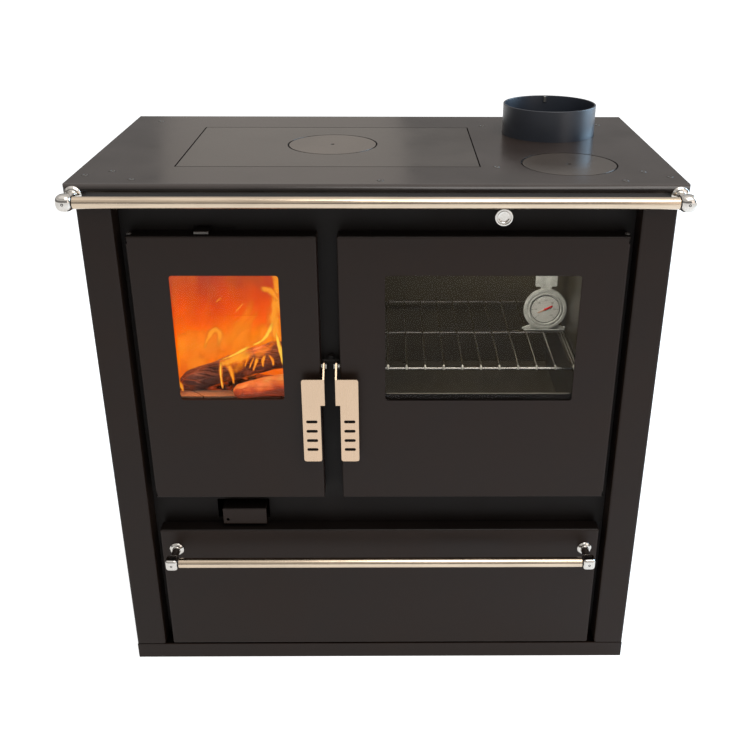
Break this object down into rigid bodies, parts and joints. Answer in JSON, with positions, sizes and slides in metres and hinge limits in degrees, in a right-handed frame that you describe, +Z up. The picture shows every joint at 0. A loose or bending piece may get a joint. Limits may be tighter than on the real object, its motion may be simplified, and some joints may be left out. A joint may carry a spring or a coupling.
{
  "type": "wood cookstove",
  "caption": "Free-standing wood-burning kitchen cookstove with glazed firebox and oven doors, storage drawer, steel hob with lift-out plates, round flue collar and front towel rail.",
  "frame": {"origin": "centre of the plinth's flat underside, on the floor", "axes": "+X to the user's right, +Y towards the wall behind, +Z up"},
  "size_m": [0.871, 0.534, 0.899],
  "materials": {
    "casing_paint": "satin dark charcoal powder coat",
    "recess_paint": "matt black stove paint",
    "hob_steel": "satin grey-brown heat-proof coating",
    "collar_enamel": "satin blue-black",
    "stainless": "brushed",
    "chrome": "polished",
    "door_glass": "clear ceramic glass",
    "seal_rope": "braided glass-fibre rope",
    "firebrick": "matt fired clay",
    "cast_iron": "rough",
    "oven_enamel": "dark gloss enamel",
    "zinc_steel": "zinc-plated",
    "dial_face": "matt off-white",
    "needle_red": "matt red"
  },
  "bodies": {
    "stove": {"plinth": "casing_paint", "base_plate": "recess_paint", "side_panel_left": "casing_paint", "side_panel_right": "casing_paint", "back_panel": "casing_paint", "front_frame": "recess_paint", "latch_catch": "recess_paint", "hob_plate": "hob_steel", "flue_collar": "collar_enamel", "towel_rail": "stainless", "towel_rail_bracket_left": "chrome", "towel_rail_bracket_right": "chrome", "flue_partition": "cast_iron", "firebox_shell": "cast_iron", "fire_brick_left": "firebrick", "fire_brick_right": "firebrick", "fire_brick_rear": "firebrick", "fire_brick_front": "firebrick", "fire_grate": "cast_iron", "oven_box": "oven_enamel", "oven_flue_floor": "cast_iron", "drawer_runner_left": "zinc_steel", "drawer_runner_right": "zinc_steel"},
    "hob_insert": {"hob_insert": "hob_steel"},
    "hob_lid_center": {"hob_lid_center": "hob_steel"},
    "hob_lid_right": {"hob_lid_right": "hob_steel"},
    "damper": {"damper_knob": "chrome", "damper_rod": "zinc_steel", "damper_plate": "cast_iron"},
    "fire_door": {"fire_door_shell": "casing_paint", "fire_door_glass": "door_glass", "fire_door_retainer": "zinc_steel", "fire_door_inner_frame": "recess_paint", "fire_door_seal": "seal_rope", "fire_door_pin_upper": "zinc_steel", "fire_door_pin_lower": "zinc_steel", "fire_door_handle_pivot": "zinc_steel"},
    "fire_lever": {"fire_door_handle": "stainless"},
    "oven_door": {"oven_door_shell": "casing_paint", "oven_door_glass": "door_glass", "oven_door_retainer": "zinc_steel", "oven_door_inner_frame": "recess_paint", "oven_door_seal": "seal_rope", "oven_door_pin_upper": "zinc_steel", "oven_door_pin_lower": "zinc_steel", "oven_door_handle_pivot": "zinc_steel"},
    "oven_lever": {"oven_door_handle": "stainless"},
    "drawer": {"drawer_front": "casing_paint", "drawer_box": "oven_enamel", "drawer_handle": "stainless", "drawer_handle_post_left": "chrome", "drawer_handle_post_right": "chrome"},
    "primary_air": {"primary_air_slide": "casing_paint"},
    "secondary_air": {"secondary_air_slide": "cast_iron"},
    "rack": {"oven_rack": "chrome", "thermometer_case": "zinc_steel", "thermometer_dial": "dial_face", "thermometer_needle": "needle_red"},
    "ash_pan": {"ash_pan": "zinc_steel"}
  },
  "joints": [
    {"name": "fire_door_hinge", "type": "hinge", "parent": "stove", "child": "fire_door", "pos_m": [-0.3575, -0.217, 0.55], "axis": [0, 0, -1], "range_deg": [0, 110]},
    {"name": "oven_door_hinge", "type": "hinge", "parent": "stove", "child": "oven_door", "pos_m": [0.3595, -0.217, 0.55], "axis": [0, 0, 1], "range_deg": [0, 110]},
    {"name": "fire_lever_pivot", "type": "hinge", "parent": "fire_door", "child": "fire_lever", "pos_m": [-0.0825, -0.217, 0.562], "axis": [-1, 0, 0], "range_deg": [0, 40]},
    {"name": "oven_lever_pivot", "type": "hinge", "parent": "oven_door", "child": "oven_lever", "pos_m": [-0.066, -0.217, 0.562], "axis": [-1, 0, 0], "range_deg": [0, 40]},
    {"name": "drawer_slide", "type": "slide", "parent": "stove", "child": "drawer", "axis": [0, -1, 0], "range_m": [0, 0.32]},
    {"name": "damper_pull", "type": "slide", "parent": "stove", "child": "damper", "axis": [0, -1, 0], "range_m": [0, 0.08]},
    {"name": "primary_air_pull", "type": "slide", "parent": "stove", "child": "primary_air", "axis": [0, -1, 0], "range_m": [0, 0.025]},
    {"name": "secondary_air_slide", "type": "slide", "parent": "stove", "child": "secondary_air", "axis": [1, 0, 0], "range_m": [0, 0.03]},
    {"name": "hob_insert_lift", "type": "slide", "parent": "stove", "child": "hob_insert", "axis": [0, 0, 1], "range_m": [0, 0.15]},
    {"name": "hob_lid_center_lift", "type": "slide", "parent": "hob_insert", "child": "hob_lid_center", "axis": [0, 0, 1], "range_m": [0, 0.12]},
    {"name": "hob_lid_right_lift", "type": "slide", "parent": "stove", "child": "hob_lid_right", "axis": [0, 0, 1], "range_m": [0, 0.12]},
    {"name": "oven_rack_slide", "type": "slide", "parent": "stove", "child": "rack", "axis": [0, -1, 0], "range_m": [-0.03, 0.025]},
    {"name": "ash_pan_slide", "type": "slide", "parent": "stove", "child": "ash_pan", "axis": [0, -1, 0], "range_m": [0, 0.01]}
  ]
}
